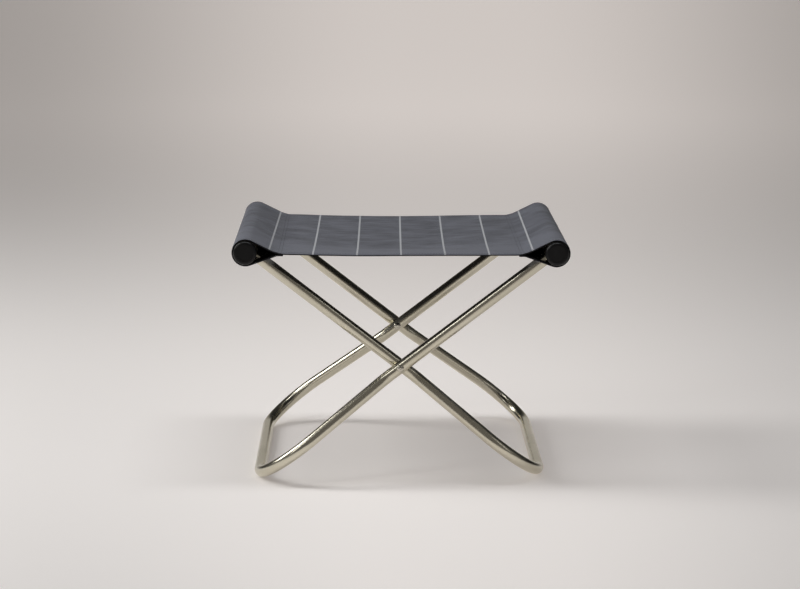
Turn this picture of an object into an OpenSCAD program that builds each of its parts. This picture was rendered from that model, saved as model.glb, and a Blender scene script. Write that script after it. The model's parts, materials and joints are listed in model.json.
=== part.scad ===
// Folding camp stool: two bent tube frames crossed on a pair of pivots, each carrying a rail,
// with a cloth sling stretched between the two rails.
// X runs across the seat from rail to rail, Y from front to back, Z up from the floor.
// The left half is the right half turned half a turn about Z, so each shape is written once.

/* [Overall] */
// Distance between the axes of the two seat rails
rail_spacing = 461; // [380:1:560]
// Height of the rail axes above the floor
rail_height = 348.5; // [300:0.5:420]
// Height of the folding pivots above the floor
pivot_height = 171.2; // [142:0.2:206]
// Length of the seat cloth from front to back
seat_depth = 420; // [348:1:508]

/* [Leg frames] */
// Outside diameter of the leg tube
tube_d = 18; // [14:0.5:22]
// Wall of the leg tube
tube_wall = 1.5; // [1:0.1:2.5]
// Distance from the edge of the cloth to the middle of the pair of crossing legs
leg_inset = 35.9; // [30:0.1:60]
// Distance from the pivot down the leg to the point where the leg splays outwards
splay_drop = 29; // [24:1:60]
// Angle by which the lower leg splays outwards, within the plane of its frame
splay_angle = 18.6; // [0:0.1:24]
// Bend radius on the tube's centre line where the leg splays
splay_bend_r = 60; // [30:1:80]
// Bend radius on the tube's centre line between leg and foot bar
foot_bend_r = 76; // [40:1:90]

/* [Rails] */
// Outside diameter of the rail tube
rail_d = 35; // [28:0.5:42]
// Wall of the rail tube
rail_wall = 1.5; // [1:0.1:2.5]
// Length of rail that stands out of the cloth at each end
rail_proud = 0.6; // [0:0.1:6]

/* [End caps] */
// Length of cap that shows beyond the end of the rail
cap_length = 8; // [6:0.5:14]
// Radius of the rounded rim of the cap
cap_rim_r = 4.5; // [1:0.5:5.5]
// Depth of the shallow dish in the face of the cap
cap_dish = 0.8; // [0.2:0.1:2]
// Distance from the hollow stem inside the rail to the leg that stands beyond it
cap_stem_gap = 1.5; // [0.5:0.1:6]
// Wall of the hollow stem
cap_stem_wall = 2; // [1.2:0.1:4]

/* [Folding pivots] */
// Gap between two crossing leg tubes, filled by the spacer
leg_gap = 2; // [1:0.1:4]
// Diameter of the spacer
spacer_d = 14; // [11:0.5:16]
// Outside diameter of the barrel that both legs turn on
barrel_d = 8; // [6:0.1:10]
// Diameter of the pivot screw's shank
pivot_screw_d = 5; // [4:0.1:6]
// Length of the shank inside the barrel
pivot_screw_length = 22; // [12:1:30]
// Diameter of the domed heads
pivot_head_d = 11; // [10:0.1:13]
// Height of the domed heads
pivot_head_h = 2.6; // [2:0.1:4]
// Size across the flats of the hexagon sockets
pivot_hex = 3; // [2:0.5:4]

/* [Rail fixings] */
// Diameter of the screw that holds the rail on the leg
rail_screw_d = 6; // [4:0.1:8]
// Diameter of its countersunk head
rail_screw_head_d = 10; // [8:0.1:12]
// Length of the screw below the top of the head
rail_screw_length = 20; // [12:1:40]
// Length of the threaded plug in the top of the leg
insert_length = 24; // [14:1:60]

/* [Cloth] */
// Thickness of the cloth with its backing
cloth_t = 2.2; // [1.4:0.1:3]
// Distance from the rail axis to the seam that closes the sleeve round the rail
seam_reach = 47; // [42:0.5:60]
// Drop from the rail axis to the top face of the flat seat
seat_drop = 0.5; // [0:0.1:6]
// Slack between the rail and the sleeve, on the radius
sleeve_slack = 0.7; // [0.5:0.1:2]
// Length of the sewn-down edge that lies under the seat past the seam
hem_length = 9; // [4:0.5:16]
// Clearance round the leg in the hole of the sleeve
leg_hole_gap = 1.2; // [0.6:0.1:3]

/* [Fits] */
// Clearance on the radius of a turning fit
turning_gap = 0.05; // [0.03:0.01:0.1]
// Clearance on the radius of a fixed fit
fixed_gap = 0.1; // [0.05:0.01:0.3]
// Clearance between faces of the two frames that move past each other
body_gap = 0.3; // [0.1:0.05:0.6]

/* [Hidden] */
$fn = 48;
steel = [0.72, 0.70, 0.65];
black_plastic = [0.07, 0.07, 0.08];
bright_steel = [0.80, 0.79, 0.76];
nylon = [0.12, 0.12, 0.12];
cloth_grey = [0.36, 0.37, 0.39];

tube_r = tube_d / 2;
tube_bore_r = tube_r - tube_wall;
rail_r = rail_d / 2;
rail_bore_r = rail_r - rail_wall;
rail_x = rail_spacing / 2;
rail_half = seat_depth / 2 + rail_proud;

// A frame lies in a plane through the pivot axis; leg_angle is its slope above the horizontal
leg_angle = atan2(rail_height - pivot_height, rail_x);
leg_reach = norm([rail_x, rail_height - pivot_height]);
foot_reach = (pivot_height - tube_r) / sin(leg_angle);
leg_pitch = tube_d + leg_gap;
// How far a straight runs into a bend, and how much thicker the bend is, on the radius
bend_lap = 1;
bend_swell = 0.05;
crossing_y = seat_depth / 2 - leg_inset;
front_leg_y = -crossing_y - leg_pitch / 2;
rear_leg_y = crossing_y - leg_pitch / 2;
cap_stem = rail_half + front_leg_y - tube_r - cap_stem_gap;

// The flat end of the leg seats inside the round bore of the rail
leg_end = sqrt(pow(rail_bore_r - fixed_gap, 2) - pow(tube_r, 2));
// The flat top of the rail screw stays under the surface of the rail
screw_top = sqrt(pow(rail_r - fixed_gap, 2) - pow(rail_screw_head_d / 2, 2));
screw_cone = (rail_screw_head_d - rail_screw_d) / 2;

barrel_r = barrel_d / 2;
// The crossing legs reach this far to each side of the middle of their gap
crossing_half = tube_d + leg_gap / 2;

seat_top = rail_height - seat_drop;
sleeve_r = rail_r + sleeve_slack + cloth_t;
sleeve_bore_r = rail_r + sleeve_slack;
// The sleeve hangs from the rail, so its centre lies inwards of the rail axis and below it
sleeve_shift = (sleeve_slack - fixed_gap) * [-cos(leg_angle), -sin(leg_angle)];
seam_x = rail_x - seam_reach;

// ---- Placing ----

// Turns what it holds half a turn about Z, from the right half to the left half
module opposite() rotate([0, 0, 180]) children();

// Frame plane of the right half: local +X runs from the pivot up the leg, local +Y to the back
module on_frame() translate([0, 0, pivot_height]) rotate([0, -leg_angle, 0]) children();

// The right rail's own axis at a given Y, with local +Z pointing up along the leg
module on_leg_top(y)
    translate([rail_x, y, rail_height]) rotate([0, 90 - leg_angle, 0]) children();

// The front pivot's axis, from the middle of the gap between the legs, local +Z to the front
module on_front_pivot() translate([0, -crossing_y, pivot_height]) rotate([90, 0, 0]) children();

// ---- Bent tube ----

// Direction from point a to point b
function toward(a, b) = (b - a) / norm(b - a);
// Angle turned through at corner p on the way from a to b, positive to the left
function turn_at(a, p, b) =
    let (u = toward(a, p), v = toward(p, b)) atan2(u[0] * v[1] - u[1] * v[0], u * v);
// Length from a corner to the start of its bend
function bend_run(a, p, b, r) = r * tan(abs(turn_at(a, p, b)) / 2);

// A round bar of radius r along points, with a bend of radius bends[i] at each inner point i.
// Each straight runs a little way into the bends at its ends, which are thicker by a hair.
module bent_bar(points, bends, r) {
    last = len(points) - 1;
    for (i = [0 : last - 1]) {
        a = points[i];
        b = points[i + 1];
        start = i == 0 ? 0 : bend_run(points[i - 1], a, b, bends[i]) - bend_lap;
        stop = i == last - 1 ? 0 : bend_run(a, b, points[i + 2], bends[i + 1]) - bend_lap;
        along = toward(a, b);
        from = a + along * start;
        translate([from[0], from[1], 0]) rotate([0, 0, atan2(along[1], along[0])])
            rotate([0, 90, 0]) cylinder(h = norm(b - a) - start - stop, r = r);
    }
    for (i = [1 : last - 1])
        bend(points[i - 1], points[i], points[i + 1], bends[i], r + bend_swell);
}

// The bend at corner p between the directions from a and to b
module bend(a, p, b, bend_r, r) {
    turn = turn_at(a, p, b);
    side = sign(turn);
    along = toward(a, p);
    begin = p - along * bend_run(a, p, b, bend_r);
    centre = begin + side * bend_r * [-along[1], along[0]];
    begin_angle = atan2(begin[1] - centre[1], begin[0] - centre[0]);
    if (abs(turn) > 0.01)
        translate([centre[0], centre[1], 0]) rotate([0, 0, begin_angle - (side < 0 ? abs(turn) : 0)])
            rotate_extrude(angle = abs(turn)) translate([bend_r, 0]) circle(r);
}

// ---- Right half ----

// Centre line of the right frame, from the front leg's top round the foot bar to the rear leg's top
leg_splay = (foot_reach - splay_drop) * tan(splay_angle);
leg_line = [
    [leg_reach + leg_end, front_leg_y],
    [-splay_drop, front_leg_y],
    [-foot_reach, front_leg_y - leg_splay],
    [-foot_reach, rear_leg_y + leg_splay],
    [-splay_drop, rear_leg_y],
    [leg_reach + leg_end, rear_leg_y]
];
leg_bends = [0, splay_bend_r, foot_bend_r, foot_bend_r, splay_bend_r, 0];

module leg_frame() difference() {
    on_frame() bent_bar(leg_line, leg_bends, tube_r);
    on_frame() bent_bar(leg_line, leg_bends, tube_bore_r);
    for (y = [front_leg_y, rear_leg_y])
        translate([0, y, pivot_height]) rotate([90, 0, 0])
            cylinder(h = tube_d + 2, r = barrel_r + turning_gap, center = true);
}

module rail() difference() {
    translate([rail_x, 0, rail_height]) rotate([90, 0, 0]) difference() {
        cylinder(h = 2 * rail_half, r = rail_r, center = true, $fn = 72);
        cylinder(h = 2 * rail_half + 2, r = rail_bore_r, center = true, $fn = 72);
    }
    for (y = [front_leg_y, rear_leg_y]) on_leg_top(y) {
        translate([0, 0, -rail_r - 2]) cylinder(h = rail_r + 2, r = tube_r + fixed_gap);
        translate([0, 0, screw_top - screw_cone]) screw_head(fixed_gap, 4);
    }
}

// A countersunk head that widens upwards, grown by gap on the radius and carried on by extra height
module screw_head(gap, extra) {
    cylinder(h = screw_cone, r1 = rail_screw_d / 2 + gap, r2 = rail_screw_head_d / 2 + gap);
    if (extra > 0)
        translate([0, 0, screw_cone]) cylinder(h = extra, r = rail_screw_head_d / 2 + gap);
}

// Rounded plug for the front end of a rail, drawn with its face towards local +Z
module cap() {
    face_r = rail_r - cap_rim_r;
    rotate_extrude($fn = 72) difference() {
        union() {
            square([rail_r, cap_length - cap_rim_r]);
            square([face_r, cap_length]);
            intersection() {
                translate([face_r, cap_length - cap_rim_r]) circle(cap_rim_r);
                square([rail_r, cap_length]);
            }
        }
        translate([0, cap_length - cap_dish]) square([face_r - 1, cap_dish + 1]);
    }
    translate([0, 0, -cap_stem]) difference() {
        cylinder(h = cap_stem + 0.5, r = rail_bore_r - fixed_gap, $fn = 72);
        translate([0, 0, -1]) cylinder(h = cap_stem + 1, r = rail_bore_r - fixed_gap - cap_stem_wall);
    }
}

module front_cap() translate([rail_x, -rail_half, rail_height]) rotate([90, 0, 0]) cap();
module rear_cap() translate([rail_x, rail_half, rail_height]) rotate([-90, 0, 0]) cap();

// Threaded plug that fills the top of the leg tube
module insert(y) on_leg_top(y) translate([0, 0, leg_end - insert_length]) difference() {
    cylinder(h = insert_length, r = tube_bore_r - fixed_gap);
    translate([0, 0, insert_length - rail_screw_length])
        cylinder(h = rail_screw_length + 1, r = rail_screw_d / 2 + fixed_gap);
    // Room for the cone of the screw head, where it reaches below the end of the leg
    translate([0, 0, screw_top - screw_cone - leg_end + insert_length]) screw_head(fixed_gap, 0);
}

// Countersunk screw with a hexagon socket, let into the outer side of the rail
module rail_screw(y) on_leg_top(y) difference() {
    union() {
        translate([0, 0, screw_top - rail_screw_length])
            cylinder(h = rail_screw_length - screw_cone, r = rail_screw_d / 2);
        translate([0, 0, screw_top - screw_cone]) screw_head(0, 0);
    }
    translate([0, 0, screw_top - 1.8]) cylinder(h = 3, d = rail_screw_d * 0.75, $fn = 6);
}

// ---- Front pivot, on the right frame ----

// A low domed head with a hexagon socket, flat side down on local Z = 0
module domed_head(depth) {
    dome_r = (pow(pivot_head_d / 2, 2) + pow(pivot_head_h, 2)) / (2 * pivot_head_h);
    intersection() {
        cylinder(h = pivot_head_h, d = pivot_head_d);
        translate([0, 0, pivot_head_h - dome_r]) sphere(dome_r, $fn = 96);
    }
    translate([0, 0, -depth]) cylinder(h = depth + 0.01, d = pivot_head_d);
}

module hex_socket(depth)
    translate([0, 0, pivot_head_h - depth]) cylinder(h = depth + 1, d = pivot_hex / cos(30), $fn = 6);

// Cuts away the right frame's front leg tube, which a saddle shape sits on
module less_leg() difference() {
    children();
    translate([0, front_leg_y, pivot_height]) rotate([0, -leg_angle, 0])
        rotate([0, 90, 0]) cylinder(h = 60, r = tube_r, center = true);
}

// Screw whose head is saddled onto the outer side of the right leg
module pivot_screw() {
    shank_start = crossing_half - pivot_screw_length;
    on_front_pivot() translate([0, 0, shank_start])
        cylinder(h = pivot_screw_length + 0.5, d = pivot_screw_d);
    difference() {
        less_leg() on_front_pivot() translate([0, 0, crossing_half]) domed_head(tube_r * 0.2);
        on_front_pivot() translate([0, 0, crossing_half]) hex_socket(1.6);
    }
}

// Headed barrel that passes through both legs and takes the screw
module pivot_barrel() on_front_pivot() difference() {
    union() {
        translate([0, 0, -crossing_half - body_gap]) rotate([180, 0, 0]) domed_head(0);
        translate([0, 0, -crossing_half - body_gap])
            cylinder(h = 2 * crossing_half + body_gap - tube_wall, r = barrel_r);
    }
    translate([0, 0, crossing_half - pivot_screw_length - 1])
        cylinder(h = pivot_screw_length + 2, r = pivot_screw_d / 2 + fixed_gap);
    translate([0, 0, -crossing_half - body_gap]) rotate([180, 0, 0]) hex_socket(1.6);
}

// Spacer between the legs: saddled on the right leg, flat towards the left leg that turns past it
module spacer() less_leg() on_front_pivot() translate([0, 0, -leg_gap / 2 + body_gap / 3])
    difference() {
        cylinder(h = leg_gap + tube_r * 0.35, d = spacer_d);
        translate([0, 0, -1]) cylinder(h = leg_gap + tube_r, r = barrel_r + turning_gap);
    }

// ---- Cloth ----

// Outline of the closed sleeve: a circle and its two tangents, which meet the seam's edge
// at points top and bottom, seen from the front with the rail at the right
sleeve_centre = [rail_x, rail_height] + sleeve_shift;
seam_top = [seam_x, seat_top];
seam_bottom = [seam_x, seat_top - 2 * cloth_t - body_gap];
function tangent_angle(p, side) =
    let (away = p - sleeve_centre)
    atan2(away[1], away[0]) + side * acos(sleeve_r / norm(away));
function on_circle(r, angle) = sleeve_centre + r * [cos(angle), sin(angle)];

module sleeve_outline() {
    upper = tangent_angle(seam_top, -1);
    lower = tangent_angle(seam_bottom, 1);
    translate(sleeve_centre) circle(sleeve_r, $fn = 72);
    polygon([
        sleeve_centre, on_circle(sleeve_r, upper), seam_top,
        seam_bottom, on_circle(sleeve_r, lower)
    ]);
}

module sleeve_hollow() {
    upper = tangent_angle(seam_top, -1);
    lower = tangent_angle(seam_bottom, 1);
    tip_reach = sleeve_bore_r / cos((lower - upper) / 2);
    translate(sleeve_centre) circle(sleeve_bore_r, $fn = 72);
    polygon([
        sleeve_centre, on_circle(sleeve_bore_r, upper),
        on_circle(tip_reach, (upper + lower) / 2), on_circle(sleeve_bore_r, lower)
    ]);
}

// The cloth wrapped round the rail, with the sewn-down edge under the seat
module sleeve() difference() {
    rotate([90, 0, 0]) linear_extrude(seat_depth, center = true) {
        difference() {
            sleeve_outline();
            sleeve_hollow();
        }
        translate([seam_x - hem_length, seam_bottom[1]]) square([hem_length + 1, cloth_t]);
    }
    for (y = [front_leg_y, rear_leg_y]) on_leg_top(y)
        translate([0, 0, -seam_reach - 10]) cylinder(h = seam_reach + 10, r = tube_r + leg_hole_gap);
}

// The flat of the seat, sewn to the right sleeve
module seat_panel()
    color(cloth_grey) translate([-seam_x + body_gap, -seat_depth / 2, seat_top - cloth_t])
        cube([2 * seam_x - body_gap, seat_depth, cloth_t]);

// ---- Named pieces ----

module right_leg_frame() color(steel) leg_frame();
module left_leg_frame() color(steel) opposite() leg_frame();
module right_rail() color(steel) rail();
module left_rail() color(steel) opposite() rail();
module right_front_cap() color(black_plastic) front_cap();
module right_rear_cap() color(black_plastic) rear_cap();
module left_front_cap() color(black_plastic) opposite() rear_cap();
module left_rear_cap() color(black_plastic) opposite() front_cap();
module right_front_insert() color(nylon) insert(front_leg_y);
module right_rear_insert() color(nylon) insert(rear_leg_y);
module left_front_insert() color(nylon) opposite() insert(rear_leg_y);
module left_rear_insert() color(nylon) opposite() insert(front_leg_y);
module right_front_rail_screw() color(bright_steel) rail_screw(front_leg_y);
module right_rear_rail_screw() color(bright_steel) rail_screw(rear_leg_y);
module left_front_rail_screw() color(bright_steel) opposite() rail_screw(rear_leg_y);
module left_rear_rail_screw() color(bright_steel) opposite() rail_screw(front_leg_y);
module front_pivot_screw() color(bright_steel) pivot_screw();
module rear_pivot_screw() color(bright_steel) opposite() pivot_screw();
module front_pivot_barrel() color(bright_steel) pivot_barrel();
module rear_pivot_barrel() color(bright_steel) opposite() pivot_barrel();
module front_spacer() color(nylon) spacer();
module rear_spacer() color(nylon) opposite() spacer();
module right_sleeve() color(cloth_grey) sleeve();
module left_sleeve() color(cloth_grey) opposite() sleeve();

right_leg_frame();
left_leg_frame();
right_rail();
left_rail();
right_front_cap();
right_rear_cap();
left_front_cap();
left_rear_cap();
right_front_insert();
right_rear_insert();
left_front_insert();
left_rear_insert();
right_front_rail_screw();
right_rear_rail_screw();
left_front_rail_screw();
left_rear_rail_screw();
front_pivot_screw();
rear_pivot_screw();
front_pivot_barrel();
rear_pivot_barrel();
front_spacer();
rear_spacer();
right_sleeve();
left_sleeve();
seat_panel();
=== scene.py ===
"""Looks of a folding camp stool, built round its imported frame. Metres, +Z up, seat along X."""

import json
import logging
import math
from dataclasses import dataclass, field
from enum import Enum
from typing import Callable, Iterable, Sequence

import bmesh
import bpy
from mathutils import Matrix, Vector, noise
from mathutils.geometry import intersect_line_line_2d


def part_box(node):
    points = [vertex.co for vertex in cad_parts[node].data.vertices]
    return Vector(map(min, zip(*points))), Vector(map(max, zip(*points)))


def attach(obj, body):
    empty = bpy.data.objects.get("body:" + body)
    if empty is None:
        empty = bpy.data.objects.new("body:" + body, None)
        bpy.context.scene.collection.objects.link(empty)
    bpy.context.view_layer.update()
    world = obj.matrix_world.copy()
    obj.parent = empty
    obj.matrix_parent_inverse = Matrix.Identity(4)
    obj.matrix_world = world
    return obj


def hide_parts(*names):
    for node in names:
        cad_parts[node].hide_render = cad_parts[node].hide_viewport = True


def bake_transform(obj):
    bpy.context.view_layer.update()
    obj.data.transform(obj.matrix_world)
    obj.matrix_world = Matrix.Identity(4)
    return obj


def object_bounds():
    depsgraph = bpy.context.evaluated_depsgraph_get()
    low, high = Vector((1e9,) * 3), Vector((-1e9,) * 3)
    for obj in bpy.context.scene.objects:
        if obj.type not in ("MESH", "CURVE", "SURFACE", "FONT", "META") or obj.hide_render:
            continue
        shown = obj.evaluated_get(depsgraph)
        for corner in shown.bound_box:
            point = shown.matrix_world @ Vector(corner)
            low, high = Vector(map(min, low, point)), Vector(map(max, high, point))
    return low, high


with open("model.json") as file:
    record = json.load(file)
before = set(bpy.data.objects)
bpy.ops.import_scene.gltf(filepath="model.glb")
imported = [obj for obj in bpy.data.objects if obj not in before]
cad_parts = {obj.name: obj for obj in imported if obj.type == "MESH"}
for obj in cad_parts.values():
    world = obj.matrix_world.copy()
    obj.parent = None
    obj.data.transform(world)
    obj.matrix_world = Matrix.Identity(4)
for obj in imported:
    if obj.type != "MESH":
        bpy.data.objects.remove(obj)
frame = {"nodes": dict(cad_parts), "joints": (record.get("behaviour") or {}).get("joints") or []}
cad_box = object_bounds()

LOG = logging.getLogger("stool")
RIGHT_FRAME = "right_frame"
LEFT_FRAME = "left_frame"
CUT_MAP = "cut"
LEG_RADIUS = 0.009
UPWARD = (0.0, 0.0, 1.0)
Colour = tuple[float, float, float]
Span = tuple[float, float]
Triple = tuple[float, float, float]
Feed = bpy.types.NodeSocket | float | Sequence[float]
Spot = Callable[[float], tuple[Vector, Vector, Vector]]


class Slot(Enum):
    """The record's material slots for the cloth and the tube."""

    CLOTH = "seat_cloth"
    TUBE = "leg_tube"


class Held(Enum):
    """How a sheet of cloth is held."""

    STRETCHED = "stretched"


# ---- Finishes ----


class Shader:
    """A material in the making, with short ways to add nodes and join them."""

    COLOUR_MIX_INPUTS = (0, 6, 7)
    COLOUR_MIX_OUTPUT = 2

    def __init__(self, name: str, roughness: float) -> None:
        """Starts a material with a plain surface.

        Args:
            name: The material's name.
            roughness: The surface's roughness, 0 to 1.
        """
        self.material = bpy.data.materials.new(name)
        self.material.use_nodes = True
        self.tree = self.material.node_tree
        self.surface = self.tree.nodes["Principled BSDF"]
        self.surface.inputs["Roughness"].default_value = roughness

    def node(self, kind: str, **settings: object) -> bpy.types.Node:
        """Adds a node.

        Args:
            kind: The node's type without its ShaderNode prefix.
            **settings: Values for the node's own properties.

        Returns:
            The new node.
        """
        made = self.tree.nodes.new(f"ShaderNode{kind}")
        for name, value in settings.items():
            setattr(made, name, value)
        return made

    def feed(self, socket: bpy.types.NodeSocket, source: Feed) -> None:
        """Joins a socket to another, or sets it to a number or a colour.

        Args:
            socket: The input to fill.
            source: An output socket, a number, or three numbers.
        """
        if isinstance(source, bpy.types.NodeSocket):
            self.tree.links.new(source, socket)
        elif socket.type == "RGBA":
            socket.default_value = (*source, 1.0)
        else:
            socket.default_value = source

    def math(self, operation: str, *values: Feed) -> bpy.types.NodeSocket:
        """Adds a Math node.

        Args:
            operation: The Math node's operation.
            *values: Its inputs, sockets or numbers.

        Returns:
            Its output.
        """
        made = self.node("Math", operation=operation)
        for socket, value in zip(made.inputs, values):
            self.feed(socket, value)
        return made.outputs[0]

    def place(self, cloth: bool = False) -> bpy.types.NodeSocket:
        """Where a point is, in metres.

        Args:
            cloth: True to measure along the cloth as it was cut, False in the stool's own frame.

        Returns:
            The place as a vector socket.
        """
        if cloth:
            return self.node("UVMap", uv_map=CUT_MAP).outputs["UV"]
        return self.node("TexCoord").outputs["Object"]

    def noise(self, at: Feed, scale: float | Triple, detail: float) -> bpy.types.NodeSocket:
        """Adds a noise pattern.

        Args:
            at: The place to read it at.
            scale: Blotches per metre, one number or one for each axis.
            detail: Number of finer layers.

        Returns:
            The noise, about 0.5 on average.
        """
        mapping = self.node("Mapping")
        self.feed(mapping.inputs["Vector"], at)
        mapping.inputs["Scale"].default_value = scale if isinstance(scale, tuple) else (scale,) * 3
        made = self.node("TexNoise")
        self.feed(made.inputs["Vector"], mapping.outputs[0])
        made.inputs["Scale"].default_value = 1.0
        made.inputs["Detail"].default_value = detail
        return made.outputs["Fac"]

    def remap(self, value: Feed, span: Span, onto: Span = (0.0, 1.0)) -> bpy.types.NodeSocket:
        """Carries a value smoothly from one range to another, held at the ends.

        Args:
            value: The value.
            span: The start and end of its range.
            onto: What they become.

        Returns:
            The carried value.
        """
        made = self.node("MapRange", interpolation_type="SMOOTHSTEP")
        for socket, number in zip(made.inputs, (value, *span, *onto)):
            self.feed(socket, number)
        return made.outputs[0]

    def mix(self, share: Feed, first: Feed, second: Feed) -> bpy.types.NodeSocket:
        """Mixes two colours.

        Args:
            share: How much of the second, 0 to 1.
            first: A colour or a socket.
            second: A colour or a socket.

        Returns:
            The mixed colour.
        """
        made = self.node("Mix", data_type="RGBA")
        sockets = (made.inputs[index] for index in self.COLOUR_MIX_INPUTS)
        for socket, source in zip(sockets, (share, first, second)):
            self.feed(socket, source)
        return made.outputs[self.COLOUR_MIX_OUTPUT]

    def relief(self, height: Feed, depth: float, strength: float) -> None:
        """Raises the surface by a pattern.

        Args:
            height: The pattern, 0 to 1.
            depth: Its full height in metres.
            strength: How much of it shows, 0 to 1.
        """
        made = self.node("Bump")
        made.inputs["Strength"].default_value = strength
        made.inputs["Distance"].default_value = depth
        self.feed(made.inputs["Height"], height)
        self.feed(self.surface.inputs["Normal"], made.outputs[0])

    def finish(self, colour: Feed, **inputs: Feed) -> bpy.types.Material:
        """Sets the colour and the other inputs of the surface.

        Args:
            colour: The base colour.
            **inputs: Other inputs by name, with _ for a space.

        Returns:
            The finished material.
        """
        self.feed(self.surface.inputs["Base Color"], colour)
        for name, source in inputs.items():
            self.feed(self.surface.inputs[name.replace("_", " ")], source)
        return self.material


@dataclass(frozen=True)
class SatinMetal:
    """Satin-plated steel: a fine even grain, and faint patches where hands have polished it."""

    name: str
    colour: Colour
    shade: Colour
    smooth: float
    rough: float
    grain: float = 1600.0
    grain_detail: float = 2.0
    grain_gloss: float = 0.03
    patches: float = 9.0
    patch_detail: float = 3.0
    tone_span: Span = (0.35, 0.7)
    gloss_span: Span = (0.3, 0.7)

    def material(self) -> bpy.types.Material:
        """Makes the material.

        Returns:
            The satin metal.
        """
        made = Shader(self.name, self.rough)
        at = made.place()
        patches = made.noise(at, self.patches, self.patch_detail)
        fine = made.noise(at, self.grain, self.grain_detail)
        tone = made.remap(patches, self.tone_span)
        polish = made.remap(patches, self.gloss_span, (self.smooth, self.rough))
        gloss = made.math("ADD", polish, made.math("MULTIPLY", fine, self.grain_gloss))
        return made.finish(made.mix(tone, self.colour, self.shade), Metallic=1.0, Roughness=gloss)


@dataclass(frozen=True)
class MouldedPlastic:
    """Moulded plastic with a fine spark-eroded skin and dull rubbed spots."""

    name: str
    colour: Colour
    wear_and_painted_light: Colour
    roughness: float
    specular: float = 0.5
    grain: float = 1400.0
    grain_detail: float = 2.0
    grain_depth: float = 0.00006
    grain_strength: float = 0.5
    spots: float = 60.0
    spot_detail: float = 5.0
    spot_span: Span = (0.52, 0.75)
    spot_dullness: float = 0.12

    def material(self) -> bpy.types.Material:
        """Makes the material.

        Returns:
            The moulded plastic.
        """
        made = Shader(self.name, self.roughness)
        at = made.place()
        skin = made.noise(at, self.grain, self.grain_detail)
        rubbed = made.remap(made.noise(at, self.spots, self.spot_detail), self.spot_span)
        made.relief(skin, self.grain_depth, self.grain_strength)
        gloss = made.math("ADD", made.math("MULTIPLY", rubbed, self.spot_dullness), self.roughness)
        return made.finish(made.mix(rubbed, self.colour, self.wear_and_painted_light), Roughness=gloss,
                           Specular_IOR_Level=self.specular)


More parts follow.
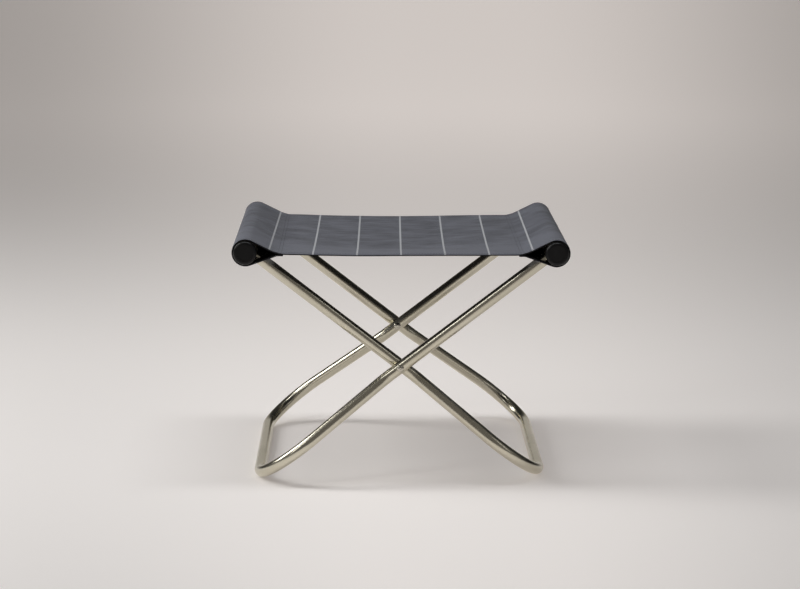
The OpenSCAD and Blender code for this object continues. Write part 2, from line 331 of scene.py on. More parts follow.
@dataclass(frozen=True)
class StripedCloth:
    """Plain-woven melange cloth with thin pale stripes across its length."""

    half_depth: float
    name: str = "striped_cloth"
    dark: Colour = (0.062, 0.0665, 0.083)
    light: Colour = (0.148, 0.157, 0.19)
    stripe: Colour = (0.50, 0.515, 0.54)
    roughness: float = 0.85
    specular: float = 0.25
    sheen: float = 0.12
    sheen_roughness: float = 0.5
    streaks: Triple = (28.0, 330.0, 1.0)
    streak_detail: float = 4.0
    streak_share: float = 0.45
    slubs: Triple = (900.0, 260.0, 1.0)
    slub_detail: float = 3.0
    slub_share: float = 0.25
    clouds: Triple = (16.0, 26.0, 1.0)
    cloud_detail: float = 4.0
    cloud_share: float = 0.3
    tone_span: Span = (0.40, 0.60)
    # Painted light: how much paler the cloth is painted towards its front edge, for the light its slope
    # catches there.
    front_painted_light: float = 0.7
    front_light_span: Span = (-0.17, -0.06)
    pitch: float = 0.0652
    stripe_width: float = 0.0028
    stripe_shift: float = 0.0017
    stripe_slant: float = 0.0087
    stripe_cover: float = 0.95
    stripe_fade: Span = (-0.0004, 0.0002)
    # Painted highlight: a pale line along the rolled fold just inside the front and back edges.
    fold_highlight_inset: float = 0.0042
    fold_highlight_width: float = 0.0014
    fold_highlight_share: float = 0.55
    yarn: float = 0.0009
    yarn_gap_span: Span = (0.0, 0.8)
    yarn_gap_shade: float = 0.35
    weave_depth: float = 0.00016
    weave_strength: float = 0.7

    def weave(self, made: Shader, along: Feed, across: Feed) -> bpy.types.NodeSocket:
        """Height of a plain weave: at each crossing one of the two yarns lies on top.

        Args:
            made: The material in the making.
            along: Place along the cloth.
            across: Place across the cloth.

        Returns:
            The height, 0 to 1.
        """
        rows = [made.math("DIVIDE", value, self.yarn) for value in (along, across)]
        cells = [made.math("FLOOR", row) for row in rows]
        over = made.math("PINGPONG", made.math("ADD", *cells), 1.0)
        waves = [made.math("ABSOLUTE", made.math("SINE", made.math("MULTIPLY", row, math.pi)))
                 for row in rows]
        first = made.math("MULTIPLY", waves[0], over)
        second = made.math("MULTIPLY", waves[1], made.math("SUBTRACT", 1.0, over))
        return made.math("ADD", first, second)

    def ground(self, made: Shader, at: Feed, across: Feed) -> bpy.types.NodeSocket:
        """Colour of the melange between the stripes, with painted light: paler towards the front, and a
        painted highlight along the fold beside each edge.

        Args:
            made: The material in the making.
            at: Place on the cut cloth.
            across: Place across the cloth.

        Returns:
            The colour.
        """
        streaks = made.noise(at, self.streaks, self.streak_detail)
        slubs = made.noise(at, self.slubs, self.slub_detail)
        clouds = made.noise(at, self.clouds, self.cloud_detail)
        tone = made.math("ADD", made.math("MULTIPLY", streaks, self.streak_share),
                         made.math("MULTIPLY", slubs, self.slub_share))
        tone = made.math("ADD", tone, made.math("MULTIPLY", clouds, self.cloud_share))
        # Painted light: the cloth turns paler towards the front edge.
        wear_and_painted_light = made.remap(across, self.front_light_span, (self.front_painted_light, 0.0))
        tone = made.math("ADD", made.remap(tone, self.tone_span), wear_and_painted_light)
        colour = made.mix(tone, self.dark, self.light)
        # Painted highlight: a pale line a few millimetres in from each edge, where the fold catches light.
        to_edge = made.math("SUBTRACT", self.half_depth, made.math("ABSOLUTE", across))
        from_fold_highlight = made.math("ABSOLUTE", made.math("SUBTRACT", to_edge, self.fold_highlight_inset))
        painted_fold_highlight = made.remap(from_fold_highlight, (0.0, self.fold_highlight_width), (self.fold_highlight_share, 0.0))
        return made.mix(painted_fold_highlight, colour, self.light)

    def on_stripe(self, made: Shader, along: Feed, across: Feed) -> bpy.types.NodeSocket:
        """How much of a stripe covers each place.

        Args:
            made: The material in the making.
            along: Place along the cloth.
            across: Place across the cloth.

        Returns:
            The stripe's share, 0 to 1.
        """
        straight = made.math("SUBTRACT", along, made.math("MULTIPLY", across, self.stripe_slant))
        shifted = made.math("SUBTRACT", straight, self.stripe_shift)
        from_stripe = made.math("PINGPONG", shifted, self.pitch / 2)
        inner, outer = (self.stripe_width / 2 + fade for fade in self.stripe_fade)
        return made.remap(from_stripe, (inner, outer), (self.stripe_cover, 0.0))

    def material(self) -> bpy.types.Material:
        """Makes the material.

        Returns:
            The striped cloth.
        """
        made = Shader(self.name, self.roughness)
        at = made.place(cloth=True)
        split = made.node("SeparateXYZ")
        made.feed(split.inputs[0], at)
        along, across = split.outputs[0], split.outputs[1]
        height = self.weave(made, along, across)
        gaps = made.remap(height, self.yarn_gap_span, (self.yarn_gap_shade, 0.0))
        pale = made.mix(gaps, self.stripe, self.light)
        colour = made.mix(self.on_stripe(made, along, across), self.ground(made, at, across), pale)
        made.relief(height, self.weave_depth, self.weave_strength)
        return made.finish(colour, Sheen_Weight=self.sheen, Sheen_Roughness=self.sheen_roughness,
                           Specular_IOR_Level=self.specular)


@dataclass(frozen=True)
class PlainCloth:
    """Plain dark textile, for the backing, the bound edges and the thread."""

    name: str
    colour: Colour
    wear_and_painted_light: Colour
    roughness: float = 0.9
    specular: float = 0.2
    rib: float = 0.0012
    rib_share: float = 0.25
    fuzz: float = 1500.0
    fuzz_detail: float = 2.0
    depth: float = 0.00015
    relief_strength: float = 0.6
    spots: float = 90.0
    spot_detail: float = 4.0
    spot_span: Span = (0.45, 0.7)

    def material(self) -> bpy.types.Material:
        """Makes the material.

        Returns:
            The plain cloth.
        """
        made = Shader(self.name, self.roughness)
        at = made.place()
        split = made.node("SeparateXYZ")
        made.feed(split.inputs[0], at)
        ribs = made.math("SINE", made.math("MULTIPLY", split.outputs[1], 2 * math.pi / self.rib))
        fuzz = made.noise(at, self.fuzz, self.fuzz_detail)
        height = made.math("ADD", made.math("MULTIPLY", ribs, self.rib_share), fuzz)
        made.relief(height, self.depth, self.relief_strength)
        rubbed = made.remap(made.noise(at, self.spots, self.spot_detail), self.spot_span)
        return made.finish(made.mix(rubbed, self.colour, self.wear_and_painted_light), Specular_IOR_Level=self.specular)


@dataclass(frozen=True)
class FloorPaint:
    """Even pale studio paint with the faintest mottling, and a painted glow that is weakest near the stool,
    grows with distance and is dimmed towards the sides as painted shade.
    """

    name: str = "floor_paint"
    colour: Colour = (0.80, 0.782, 0.774)
    mottled: Colour = (0.785, 0.768, 0.76)
    glow: Colour = (0.80, 0.735, 0.695)
    roughness: float = 0.75
    specular: float = 0.2
    blotches: float = 1.5
    blotch_detail: float = 3.0
    # Painted glow: weak near the stool and stronger with distance.
    glow_reach: Span = (1.0, 6.0)
    glow_strength: Span = (0.32, 0.67)
    # Painted shade: the glow is dimmed towards the sides, fanning out from a point in front of the stool.
    side_shade_y: float = -3.8
    side_shade_middle: float = 0.03
    side_shade_span: Span = (0.02, 0.19)
    side_shade_share: Span = (1.0, 0.52)

    def material(self) -> bpy.types.Material:
        """Makes the material.

        Returns:
            The floor paint.
        """
        made = Shader(self.name, self.roughness)
        at = made.place()
        colour = made.mix(made.noise(at, self.blotches, self.blotch_detail), self.colour, self.mottled)
        distance = made.node("VectorMath", operation="LENGTH")
        made.feed(distance.inputs[0], at)
        split = made.node("SeparateXYZ")
        made.feed(split.inputs[0], at)
        glow = made.remap(distance.outputs["Value"], self.glow_reach, self.glow_strength)
        # Painted shade: dims the painted glow towards the sides.
        ahead = made.math("SUBTRACT", split.outputs[1], self.side_shade_y)
        slope = made.math("SUBTRACT", made.math("DIVIDE", split.outputs[0], ahead), self.side_shade_middle)
        painted_side_shade = made.remap(made.math("ABSOLUTE", slope), self.side_shade_span, self.side_shade_share)
        return made.finish(colour, Specular_IOR_Level=self.specular, Emission_Color=self.glow,
                           Emission_Strength=made.math("MULTIPLY", glow, painted_side_shade))


# ---- Mesh helpers ----


def object_from(name: str, shape: bmesh.types.BMesh,
                materials: Iterable[bpy.types.Material]) -> bpy.types.Object:
    """Turns a bmesh into a linked object at the origin, smooth where its faces meet gently.

    Args:
        name: The object's name.
        shape: The bmesh, which is freed.
        materials: Its materials, by slot.

    Returns:
        The object.
    """
    mesh = bpy.data.meshes.new(name)
    shape.to_mesh(mesh)
    shape.free()
    for material in materials:
        mesh.materials.append(material)
    made = bpy.data.objects.new(name, mesh)
    bpy.context.scene.collection.objects.link(made)
    smooth(made)
    return made


def smooth(piece: bpy.types.Object, angle: float = math.radians(50)) -> None:
    """Shades a piece smoothly except across sharp edges.

    Args:
        piece: A mesh object.
        angle: Edges that turn more than this stay sharp.
    """
    for face in piece.data.polygons:
        face.use_smooth = True
    piece.data.set_sharp_from_angle(angle=angle)


def apply_modifiers(piece: bpy.types.Object) -> None:
    """Makes a piece's modifiers part of its mesh.

    Args:
        piece: A mesh object with live modifiers.
    """
    graph = bpy.context.evaluated_depsgraph_get()
    mesh = bpy.data.meshes.new_from_object(piece.evaluated_get(graph), preserve_all_data_layers=True,
                                           depsgraph=graph)
    piece.modifiers.clear()
    old, piece.data = piece.data, mesh
    bpy.data.meshes.remove(old)
    mesh.name = piece.name


# ---- The cloth's route ----


@dataclass(frozen=True)
class Stretch:
    """An even piece of a route: straight where turn is 0, else an arc that turns to the left."""

    length: float
    turn: float = 0.0


@dataclass(frozen=True)
class Route:
    """A line in the XZ plane made of stretches, from the middle of the seat to the cloth's end."""

    height: float
    stretches: tuple[Stretch, ...]

    @property
    def length(self) -> float:
        """Length of the whole route."""
        return sum(stretch.length for stretch in self.stretches)

    def at(self, distance: float) -> tuple[Vector, float]:
        """The point at a distance along the route, and the direction there.

        Args:
            distance: Distance from the middle of the seat.

        Returns:
            The point as (x, z), and the heading in radians above +X.
        """
        point, heading = Vector((0.0, self.height)), 0.0
        for stretch in self.stretches:
            run = min(distance, stretch.length)
            turned = stretch.turn * run / stretch.length
            chord = run if not stretch.turn else 2 * math.sin(turned / 2) * stretch.length / stretch.turn
            point = point + chord * Vector((math.cos(heading + turned / 2), math.sin(heading + turned / 2)))
            heading += turned
            distance -= run
            if distance <= 0:
                break
        return point, heading


@dataclass
class Sling:
    """The one-piece sling: seat, both sleeves, and the edges sewn back under the seat."""

    hem: float = 0.009
    ply_gap: float = 0.0003
    leg_radius: float = LEG_RADIUS
    # A leg hole is cut from a block of cells, and the cells round it are drawn in to its edge.
    hole_gap: float = 0.0012
    hole_cells: tuple[int, int] = (3, 2)
    hole_core: float = 0.9
    hole_spread: float = 1.4
    hole_growth: float = 0.7
    # The route's bends, and the size of the cloth's mesh cells.
    crease_radius: float = 0.042
    seam_radius: float = 0.008
    cell: float = 0.0032
    # How far the seat hangs below its taut plane, and how that fades towards the edges.
    middle_sag: float = 0.0092
    front_sag: float = 0.0017
    rear_sag: float = 0.0022
    lean: float = 0.38
    across_power: float = 1.35
    depth_power: float = 2.3
    # Ripples: waves per metre along X and Y, then the noise's own third place.
    ripple: float = 0.0011
    long_wave: Triple = (5.0, 17.0, 2.5)
    short_wave: Triple = (11.0, 38.0, 7.5)
    short_share: float = 0.5
    drape_wave: Span = (22.0, 16.0)
    drape_share: float = 0.35
    # The rolled front and back edges, and the narrow band that curls down beside them.
    edge_roll: float = 0.0006
    edge_segments: int = 2
    edge_angle: float = math.radians(60)
    smooth_angle: float = math.radians(70)
    edge_band: float = 0.0026
    edge_drop: float = 0.0013
    curl_fade: float = 0.012
    row_slack: float = 0.0004
    # Which stretch of the route runs back from the rail to the seam.
    lower_ply: int = 4
    thickness: float = field(init=False)
    seam_x: float = field(init=False)
    half_depth: float = field(init=False)
    rail: Vector = field(init=False)
    rail_radius: float = field(init=False)
    route: Route = field(init=False)
    holes: list[tuple[float, float, float]] = field(init=False)

    def __post_init__(self) -> None:
        """Works out the sizes that come from the frame."""
        seat_low, seat_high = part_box("seat_panel")
        rail_low, rail_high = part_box("right_rail")
        self.thickness = seat_high.z - seat_low.z
        self.seam_x = seat_high.x
        self.half_depth = seat_high.y
        self.rail = (rail_low + rail_high) / 2
        self.rail_radius = (rail_high.x - rail_low.x) / 2
        self.route = self.lay_out(seat_high.z)
        self.holes = self.place_holes()

    def lay_out(self, seat_top: float) -> Route:
        """Works out the line of the cloth's face from the middle of the seat to its end.

        The line runs flat to the seam, up to the rail, round the rail, back to the seam and on
        under the seat.

        Args:
            seat_top: Height of the seat's face.

        Returns:
            The route for the right half.
        """
        low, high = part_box("right_sleeve")
        radius = (high.z - low.z) / 2
        centre = Vector((high.x - radius, (high.z + low.z) / 2))
        seam_top = Vector((self.seam_x, seat_top))
        seam_bottom = seam_top - Vector((0.0, 2 * self.thickness + self.ply_gap))
        rise, fall = (self.slope_to(centre, radius, corner, side)
                      for corner, side in ((seam_top, 1), (seam_bottom, -1)))
        upper = math.sqrt((centre - seam_top).length_squared - radius**2)
        lower = math.sqrt((centre - seam_bottom).length_squared - radius**2)
        crease = self.crease_radius * math.tan(rise / 2)
        fold = self.seam_radius * math.tan(-fall / 2)
        return Route(seat_top, (
            Stretch(self.seam_x - crease),
            Stretch(self.crease_radius * rise, rise),
            Stretch(upper - crease),
            Stretch(radius * (math.pi + rise - fall), -(math.pi + rise - fall)),
            Stretch(lower - fold),
            Stretch(-self.seam_radius * fall, -fall),
            Stretch(self.hem - fold),
        ))

    @staticmethod
    def slope_to(centre: Vector, radius: float, corner: Vector, side: int) -> float:
        """Slope of the tangent from a corner to the sleeve's round, over the top (side 1) or below (-1)."""
        away = centre - corner
        return math.atan2(away.y, away.x) + side * math.asin(radius / away.length)

    def place_holes(self) -> list[tuple[float, float, float]]:
        """Finds where each right leg passes through the lower ply, measured along the cut cloth.

        Returns:
            (distance along the route, place in Y, half the hole's length) for each leg.
        """
        pivot = Vector(frame["joints"][0]["pos_m"])
        top = Vector((self.rail.x, self.rail.z))
        foot = Vector((pivot.x, pivot.z))
        ply = sum(stretch.length for stretch in self.route.stretches[:self.lower_ply])
        start, heading = self.route.at(ply)
        end, _ = self.route.at(ply + self.route.stretches[self.lower_ply].length)
        crossing = intersect_line_line_2d(top, foot, start, end)
        slant = heading - math.atan2(*(foot - top).yx)
        half_length = (self.leg_radius + self.hole_gap) / abs(math.sin(slant))
        found = []
        for node in ("right_front_insert", "right_rear_insert"):
            low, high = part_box(node)
            found.append((ply + (crossing - start).length, (low.y + high.y) / 2, half_length))
        return found

    def sag(self, x: float, y: float) -> float:
        """How far the cloth lies below its taut plane, with its slight ripples.

        Args:
            x: Place across the seat.
            y: Place from front to back.

        Returns:
            The drop in metres, 0 at and beyond the seams.
        """
        across = min(1.0, abs(x) / self.seam_x)
        reach = (1 - across**2) ** self.across_power
        depth = y / self.half_depth
        edge = self.rear_sag if depth > 0 else self.front_sag
        belly = 1 - abs(depth) ** self.depth_power
        lean = 1 - self.lean * x / self.seam_x
        long, short = (noise.noise(Vector((x * along, y * deep, seed)))
                       for along, deep, seed in (self.long_wave, self.short_wave))
        wave = long + self.short_share * short
        return reach * ((edge + (self.middle_sag - edge) * belly) * lean + self.ripple * wave)

    def surface(self, along: float, y: float) -> tuple[Vector, Vector, Vector]:
        """A point on the cloth's face.

        Args:
            along: Distance along the cut cloth from the middle of the seat, negative to the left.
            y: Place from front to back.

        Returns:
            The point, the way the cloth runs there, and the outward normal.
        """
        (x, z), heading = self.route.at(abs(along))
        side = math.copysign(1.0, along)
        run = Vector((math.cos(heading), 0.0, side * math.sin(heading)))
        normal = Vector((-side * math.sin(heading), 0.0, math.cos(heading)))
        wave = Vector((along * self.drape_wave[0], y * self.drape_wave[1], 0.0))
        drape = self.drape_share * self.ripple * noise.noise(wave)
        drop = self.sag(side * x, y) if x < self.seam_x else 0.0
        if abs(along) < self.seam_x:
            curl = max(0.0, abs(y) - self.half_depth + self.edge_band) / self.edge_band
            drop += self.edge_drop * curl * min(1.0, (self.seam_x - abs(along)) / self.curl_fade)
        point = Vector((side * x, y, z - drop)) + normal * max(0.0, drape)
        return point, run, normal

    def spread_from_hole(self, along: float, y: float) -> tuple[float, float, bool]:
        """Moves a point of the cut cloth so that the cells round a leg hole follow its edge.

        Args:
            along: Distance along the right half of the cut cloth.
            y: Place from front to back.

        Returns:
            The new distance and Y, and whether the point is inside a hole.
        """
        for centre, middle, half_length in self.holes:
            step = Vector(((along - centre) / (self.hole_cells[0] * self.cell),
                           (y - middle) / (self.hole_cells[1] * self.cell)))
            ring = max(abs(step.x), abs(step.y))
            if ring < self.hole_core:
                return along, y, True
            if ring < 1 + self.hole_spread:
                way = step.normalized()
                edge = Vector((way.x * half_length, way.y * (self.leg_radius + self.hole_gap)))
                keep = max(0.0, ring - 1) / self.hole_spread
                keep = keep * keep * (3 - 2 * keep)
                target = edge * (1 + self.hole_growth * max(0.0, ring - 1))
                return (centre + target.x + keep * (along - centre - target.x),
                        middle + target.y + keep * (y - middle - target.y), False)
        return along, y, False

    def flat_pattern(self) -> bmesh.types.BMesh:
        """Cuts the cloth flat, with its leg holes, X along the cloth and Y across.

        Returns:
            The flat cloth with its own map of the cut.
        """
        shape = bmesh.new()
        half = Vector((self.route.length, self.half_depth))
        columns, rows = (2 * round(size / self.cell) for size in half)
        bmesh.ops.create_grid(shape, x_segments=columns, y_segments=rows, size=1.0,
                              matrix=Matrix.Diagonal((half.x, half.y, 1.0, 1.0)))
        dropped = []
        for vert in shape.verts:
            side = math.copysign(1.0, vert.co.x)
            along, y, inside = self.spread_from_hole(side * vert.co.x, side * vert.co.y)
            vert.co.xy = side * along, side * y
            if inside:
                dropped.append(vert)
        bmesh.ops.delete(shape, geom=dropped, context="VERTS")
        next_row = self.half_depth * (1 - 2 / rows)
        for vert in shape.verts:
            if abs(abs(vert.co.y) - next_row) < self.row_slack:
                vert.co.y = math.copysign(self.half_depth - self.edge_band, vert.co.y)
        cut = shape.loops.layers.uv.new(CUT_MAP)
        for face in shape.faces:
            for loop in face.loops:
                loop[cut].uv = loop.vert.co.xy
        return shape

    def build(self, face: bpy.types.Material, backing: bpy.types.Material,
              edge: bpy.types.Material) -> bpy.types.Object:
        """Hangs the cut cloth on its route and gives it its thickness.

        Args:
            face: The woven face.
            backing: The dark backing.
            edge: The bound edge.

        Returns:
            The sling.
        """
        shape = self.flat_pattern()
        for vert in shape.verts:
            vert.co = self.surface(vert.co.x, vert.co.y)[0]
        bmesh.ops.recalc_face_normals(shape, faces=shape.faces)
        seat = (part for part in shape.faces if abs(part.calc_center_median().x) < self.seam_x / 2)
        if sum(part.normal.z for part in seat) < 0:
            bmesh.ops.reverse_faces(shape, faces=shape.faces)
        cloth = object_from("seat_sling", shape, (face, backing, edge))
        wall = cloth.modifiers.new("thickness", "SOLIDIFY")
        wall.thickness = self.thickness
        wall.offset = -1.0
        wall.use_even_offset = True
        wall.material_offset = 1
        wall.material_offset_rim = 2
        roll = cloth.modifiers.new("rolled_edge", "BEVEL")
        roll.width = self.edge_roll
        roll.segments = self.edge_segments
        roll.limit_method = "ANGLE"
        roll.angle_limit = self.edge_angle
        apply_modifiers(cloth)
        smooth(cloth, self.smooth_angle)
        return cloth

    def follow_rails(self, piece: bpy.types.Object) -> None:
        """Bakes a piece's placement into its mesh.

        Args:
            piece: The sling or something sewn to it.
        """
        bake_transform(piece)


@dataclass
class Stitching:
    """Rows of thread on the sling's face: the two seams and the hem along the front and back."""

    sling: Sling
    pitch: float = 0.0042
    length: float = 0.0031
    radius: float = 0.0003
    seam_insets: tuple[float, ...] = (0.0022, 0.0068)
    edge_inset: float = 0.007
    margin: float = 0.004
    ball_sides: int = 6
    ball_rings: int = 5

    def row(self, start: float, end: float, spot: Spot) -> list[Matrix]:
        """Lays out a row of stitches, each half sunk in the cloth.

        Args:
            start: Where the row starts.
            end: Where it ends.
            spot: Gives the middle, run and normal at a place in the row.

        Returns:
            What carries a unit ball to each stitch.
        """
        count = round((end - start) / self.pitch)
        lying = Matrix.Rotation(math.pi / 2, 4, "Y")
        placed = []
        for index in range(count):
            middle, run, normal = spot(start + (index + 0.5) * (end - start) / count)
            axes = (run * self.length / 2, normal.cross(run) * self.radius, normal * self.radius)
            shaped = Matrix(axes).transposed().to_4x4()
            placed.append(Matrix.Translation(middle) @ shaped @ lying)
        return placed

    def across(self, along: float) -> Spot:
        """Gives the places of a row that runs from front to back.

        Args:
            along: The row's distance along the cloth.

        Returns:
            A function from Y to the place there.
        """
        def spot(y: float) -> tuple[Vector, Vector, Vector]:
            """The middle, run and normal of the stitch at this Y.

            Args:
                y: Place from front to back.

            Returns:
                The three vectors.
            """
            middle, _, normal = self.sling.surface(along, y)
            ahead, _, _ = self.sling.surface(along, y + self.pitch)
            return middle, (ahead - middle).normalized(), normal
        return spot

    def lengthwise(self, y: float) -> Spot:
        """Gives the places of a row that runs along the cloth at one Y."""
        return lambda along: self.sling.surface(along, y)

    def rows(self) -> list[Matrix]:
        """Lays out every row of the sling.

        Returns:
            What carries a unit ball to each stitch.
        """
        sling = self.sling
        end = sling.half_depth - self.margin
        reach = sling.route.length
        placed = []
        for side in (-1, 1):
            for inset in self.seam_insets:
                placed += self.row(-end, end, self.across(side * (sling.seam_x - inset)))
                placed += self.row(-end, end, self.across(side * (reach - sling.hem + inset)))
            hem = side * (sling.half_depth - self.edge_inset)
            placed += self.row(self.margin - reach, reach - self.margin, self.lengthwise(hem))
        return placed

    def build(self, thread: bpy.types.Material) -> bpy.types.Object:
        """Sews all rows as one piece.

        Args:
            thread: The thread's material.

        Returns:
            The stitching.
        """
        ball = bmesh.new()
        bmesh.ops.create_uvsphere(ball, u_segments=self.ball_sides, v_segments=self.ball_rings, radius=1.0)
        unit = bpy.data.meshes.new("stitch")
        ball.to_mesh(unit)
        ball.free()
        shape = bmesh.new()
        for carry in self.rows():
            stitch = unit.copy()
            stitch.transform(carry)
            shape.from_mesh(stitch)
            bpy.data.meshes.remove(stitch)
        bpy.data.meshes.remove(unit)
        bmesh.ops.recalc_face_normals(shape, faces=shape.faces)
        return object_from("seat_stitching", shape, (thread,))


# ---- Frame parts ----


@dataclass
class BentTube:
    """A leg frame as one bent tube: down one leg, along the foot and up the other leg."""

    side: int
    radius: float = LEG_RADIUS
    wall: float = 0.0015
    splay_drop: float = 0.029
    splay_angle: float = math.radians(18.6)
    splay_bend: float = 0.060
    foot_bend: float = 0.076
    segments: int = 48
    turn_step: float = math.radians(2.5)
    straight_step: float = 0.012
    pivot: Vector = field(init=False)
    up: Vector = field(init=False)
    corners: list[tuple[Vector, float]] = field(init=False)

    def __post_init__(self) -> None:
        """Works out the frame's plane and the corners of the bent line from the frame."""
        low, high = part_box("right_leg_frame")
        rail_low, rail_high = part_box("right_rail")
        rail = (rail_low + rail_high) / 2
        self.pivot = Vector(frame["joints"][0]["pos_m"])
        self.up = Vector((rail.x - self.pivot.x, 0.0, rail.z - self.pivot.z)).normalized()
        foot = (low.z + self.radius - self.pivot.z) / self.up.z
        top = (high.z - self.pivot.z - self.radius * self.up.x) / self.up.z
        spread = (-self.splay_drop - foot) * math.tan(self.splay_angle)
        front, rear = (self.leg_place(node) for node in ("right_front_insert", "right_rear_insert"))
        self.corners = [
            (Vector((top, front)), 0.0),
            (Vector((-self.splay_drop, front)), self.splay_bend),
            (Vector((foot, front - spread)), self.foot_bend),
            (Vector((foot, rear + spread)), self.foot_bend),
            (Vector((-self.splay_drop, rear)), self.splay_bend),
            (Vector((top, rear)), 0.0),
        ]

    @staticmethod
    def leg_place(insert: str) -> float:
        """Where the leg that holds an insert stands, from front to back."""
        low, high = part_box(insert)
        return (low.y + high.y) / 2

    def turn_at(self, index: int) -> float:
        """How far the line turns at a corner.

        Args:
            index: Which corner, past the first.

        Returns:
            The turn to the left in radians, 0 at the line's end.
        """
        if index == len(self.corners) - 1:
            return 0.0
        before, here, after = (corner for corner, _ in self.corners[index - 1:index + 2])
        way, onward = here - before, after - here
        return math.atan2(way.cross(onward), way.dot(onward))

    def flat_skin(self) -> bmesh.types.BMesh:
        """Sweeps the outer skin in the frame's own plane, X up the leg and Y to the back.

        Returns:
            The skin, open at the tops of both legs.
        """
        at = self.corners[0][0]
        shape = bmesh.new()
        bmesh.ops.create_circle(shape, segments=self.segments, radius=self.radius,
                                matrix=Matrix.Translation(at.to_3d()) @ Matrix.Rotation(math.pi / 2, 4, "Y"))
        ring = shape.verts[:] + shape.edges[:]
        for index in range(1, len(self.corners)):
            corner, bend = self.corners[index]
            way = (corner - self.corners[index - 1][0]).normalized()
            turn = self.turn_at(index)
            stop = corner - way * bend * math.tan(abs(turn) / 2)
            steps = math.ceil((stop - at).length / self.straight_step)
            ring = bmesh.ops.spin(shape, geom=ring, axis=UPWARD, dvec=((stop - at) / steps).to_3d(),
                                  steps=steps)["geom_last"]
            if turn:
                hub = stop + bend * math.copysign(1.0, turn) * Vector((-way.y, way.x))
                steps = math.ceil(abs(turn) / self.turn_step)
                ring = bmesh.ops.spin(shape, geom=ring, cent=hub.to_3d(), axis=UPWARD, angle=turn,
                                      steps=steps)["geom_last"]
                at = hub + Matrix.Rotation(turn, 2) @ (stop - hub)
        return shape

    def build(self, name: str, metal: bpy.types.Material) -> bpy.types.Object:
        """Gives the swept skin its wall and stands it in its place.

        Args:
            name: The piece's name.
            metal: The tube's material.

        Returns:
            The tube.
        """
        shape = self.flat_skin()
        bmesh.ops.recalc_face_normals(shape, faces=shape.faces)
        bmesh.ops.solidify(shape, geom=shape.faces[:], thickness=self.wall)
        normal = Vector((-self.up.z, 0.0, self.up.x))
        leaning = Matrix((self.up, normal.cross(self.up), normal)).transposed().to_4x4()
        turned = Matrix.Rotation(0.0 if self.side > 0 else math.pi, 4, "Z")
        bmesh.ops.transform(shape, matrix=turned @ Matrix.Translation(self.pivot) @ leaning,
                            verts=shape.verts)
        bmesh.ops.recalc_face_normals(shape, faces=shape.faces)
        return object_from(name, shape, (metal,))


@dataclass(frozen=True)
class FrameFinishes:
    """Which finish each of the frame's own pieces wears."""

    tube: SatinMetal = SatinMetal(
        "nickel_tube", (0.66, 0.625, 0.515), (0.62, 0.585, 0.47), smooth=0.2, rough=0.23)
    rail: SatinMetal = SatinMetal(
        "rail_tube", (0.66, 0.63, 0.52), (0.58, 0.55, 0.44), smooth=0.26, rough=0.34)
    fastener: SatinMetal = SatinMetal(
        "bright_fastener", (0.68, 0.65, 0.56), (0.58, 0.55, 0.47), smooth=0.14, rough=0.2)
    cap: MouldedPlastic = MouldedPlastic(
        "cap_plastic", (0.0045, 0.0045, 0.005), (0.009, 0.009, 0.0095), roughness=0.32, specular=0.22)
    nylon: MouldedPlastic = MouldedPlastic(
        "black_nylon", (0.013, 0.013, 0.013), (0.03, 0.03, 0.03), roughness=0.5)

    def dress(self, nodes: dict[str, bpy.types.Object]) -> None:
        """Gives every shown node its material.

        Args:
            nodes: The frame's nodes by name.
        """
        by_ending = {
            "leg_frame": self.tube, "rail": self.rail, "cap": self.cap, "insert": self.nylon,
            "spacer": self.nylon, "screw": self.fastener, "barrel": self.fastener,
        }
        made = {ending: finish.material() for ending, finish in by_ending.items()}
        for name, node in sorted(nodes.items()):
            ending = next((word for word in made if name.endswith(word)), None)
            if ending is None:
                continue
            node.data.materials.clear()
            node.data.materials.append(made[ending])
            LOG.info("%s wears %s", name, made[ending].name)


# ---- Studio ----


@dataclass(frozen=True)
class Softbox:
    """A rectangular studio light that faces a point."""

    name: str
    place: Triple
    size: Span
    power: float
    colour: Colour = (1.0, 1.0, 1.0)
    aim: Triple = (0.0, 0.0, 0.15)

    def hang(self) -> None:
        """Puts the light in the scene."""
        light = bpy.data.lights.new(self.name, "AREA")
        light.shape = "RECTANGLE"
        light.size, light.size_y = self.size
        light.energy = self.power
        light.color = self.colour
        holder = bpy.data.objects.new(self.name, light)
        holder.location = self.place
        holder.rotation_mode = "QUATERNION"
        holder.rotation_quaternion = (Vector(self.aim) - Vector(self.place)).to_track_quat("-Z", "Y")
        bpy.context.scene.collection.objects.link(holder)


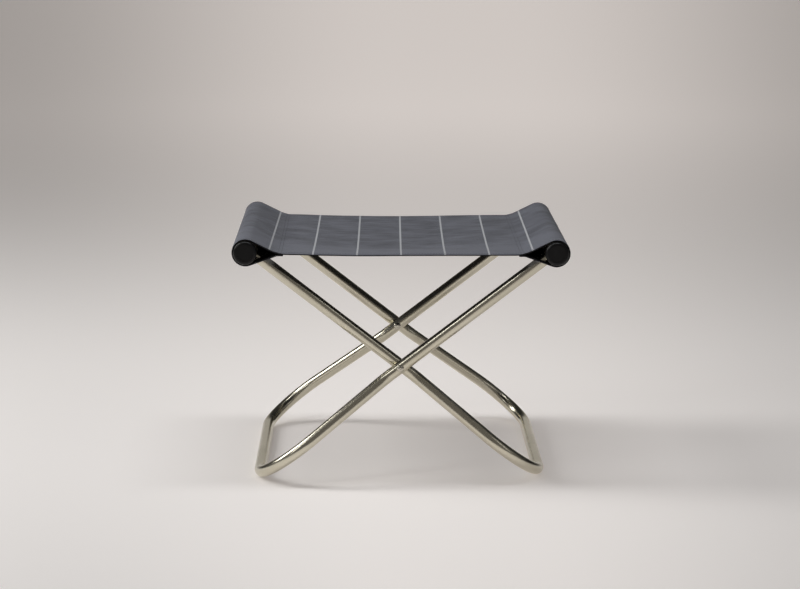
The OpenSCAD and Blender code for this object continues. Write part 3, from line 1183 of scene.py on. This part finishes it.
@dataclass
class Studio:
    """A plain pale floor, soft lights and the camera."""

    floor_radius: float = 30.0
    floor_sides: int = 96
    floor_gap: float = 0.0003
    eye: Triple = (-0.0520, -3.7966, 0.9056)
    yaw: float = 0.0141
    pitch: float = 0.1709
    roll: float = 0.0053
    lens: float = 110.65
    sensor: float = 36.0
    ambient: tuple[tuple[float, Colour], ...] = (
        (0.35, (0.14, 0.132, 0.125)), (0.65, (0.02, 0.02, 0.02)),
        (0.93, (0.02, 0.02, 0.02)), (0.985, (0.50, 0.475, 0.44)),
    )
    lights: tuple[Softbox, ...] = (
        Softbox("key", (-2.5, 0.25, 2.0), (0.9, 2.2), 46.0, (1.0, 0.985, 0.96)),
        Softbox("top", (0.0, -0.03, 2.9), (2.2, 0.5), 25.0),
        Softbox("edge", (-1.86, -1.55, 2.1), (0.3, 2.1), 8.0),
        Softbox("strip", (1.9, -1.5, 1.7), (0.35, 1.8), 1.8),
    )

    def lay_floor(self) -> None:
        """Makes the floor."""
        shape = bmesh.new()
        bmesh.ops.create_circle(shape, cap_ends=True, segments=self.floor_sides, radius=self.floor_radius,
                                matrix=Matrix.Translation((0.0, 0.0, cad_box[0].z - self.floor_gap)))
        floor = object_from("studio_floor", shape, (FloorPaint().material(),))

    def light_world(self) -> None:
        """Fills the room with weak light: dim behind the camera, dark at the sides, pale far behind."""
        world = bpy.data.worlds.new("studio")
        world.use_nodes = True
        bpy.context.scene.world = world
        tree = world.node_tree
        place = tree.nodes.new("ShaderNodeTexCoord")
        split = tree.nodes.new("ShaderNodeSeparateXYZ")
        backward = tree.nodes.new("ShaderNodeMapRange")
        backward.inputs["From Min"].default_value = -1.0
        ramp = tree.nodes.new("ShaderNodeValToRGB")
        stops = ramp.color_ramp.elements
        while len(stops) < len(self.ambient):
            stops.new(1.0)
        for stop, (position, colour) in zip(stops, self.ambient):
            stop.position = position
            stop.color = (*colour, 1.0)
        tree.links.new(place.outputs["Generated"], split.inputs[0])
        tree.links.new(split.outputs["Y"], backward.inputs["Value"])
        tree.links.new(backward.outputs[0], ramp.inputs[0])
        tree.links.new(ramp.outputs[0], tree.nodes["Background"].inputs[0])

    def set_camera(self) -> None:
        """Makes the camera and looks through it."""
        data = bpy.data.cameras.new("camera")
        data.lens = self.lens
        data.sensor_width = self.sensor
        camera = bpy.data.objects.new("camera", data)
        camera.matrix_world = (
            Matrix.Translation(self.eye)
            @ Matrix.Rotation(-self.yaw, 4, "Z")
            @ Matrix.Rotation(math.pi / 2 - self.pitch, 4, "X")
            @ Matrix.Rotation(self.roll, 4, "Z")
        )
        bpy.context.scene.collection.objects.link(camera)
        bpy.context.scene.camera = camera

    def build(self) -> None:
        """Sets the whole studio up."""
        self.lay_floor()
        self.light_world()
        for light in self.lights:
            light.hang()
        self.set_camera()
        bpy.context.scene.view_settings.view_transform = "Standard"


def build_tubes(metal: bpy.types.Material) -> None:
    """Makes both leg frames and sets each on its body.

    Args:
        metal: The tubes' material.
    """
    for side, body in ((1, RIGHT_FRAME), (-1, LEFT_FRAME)):
        tube = BentTube(side).build(f"{body}_tube", metal)
        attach(tube, body)
        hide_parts(body.replace("_frame", "_leg_frame"))
        LOG.info("%s: %d faces", tube.name, len(tube.data.polygons))


def build_cloth() -> None:
    """Makes the sling and its stitches and hangs them between the rails."""
    backing = PlainCloth("cloth_backing", (0.008, 0.008, 0.009), (0.014, 0.014, 0.015))
    edge = PlainCloth("cloth_edge", (0.012, 0.012, 0.014), (0.024, 0.024, 0.027))
    yarn = PlainCloth("grey_thread", (0.085, 0.089, 0.103), (0.12, 0.125, 0.144), rib=0.0006,
                      depth=0.00004)
    sling = Sling()
    cloth = sling.build(StripedCloth(sling.half_depth).material(), backing.material(), edge.material())
    thread = Stitching(sling).build(yarn.material())
    for piece in (cloth, thread):
        sling.follow_rails(piece)
        LOG.info("%s: %d faces", piece.name, len(piece.data.polygons))
    2 * sling.route.length
    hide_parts("left_sleeve", "right_sleeve", "seat_panel")


def main() -> None:
    """Builds the studio, the finishes, the tubes and the cloth."""
    logging.basicConfig(level=logging.INFO)
    Studio().build()
    finishes = FrameFinishes()
    finishes.dress(frame["nodes"])
    build_tubes(finishes.tube.material())
    build_cloth()


if __name__ == "__main__":
    main()
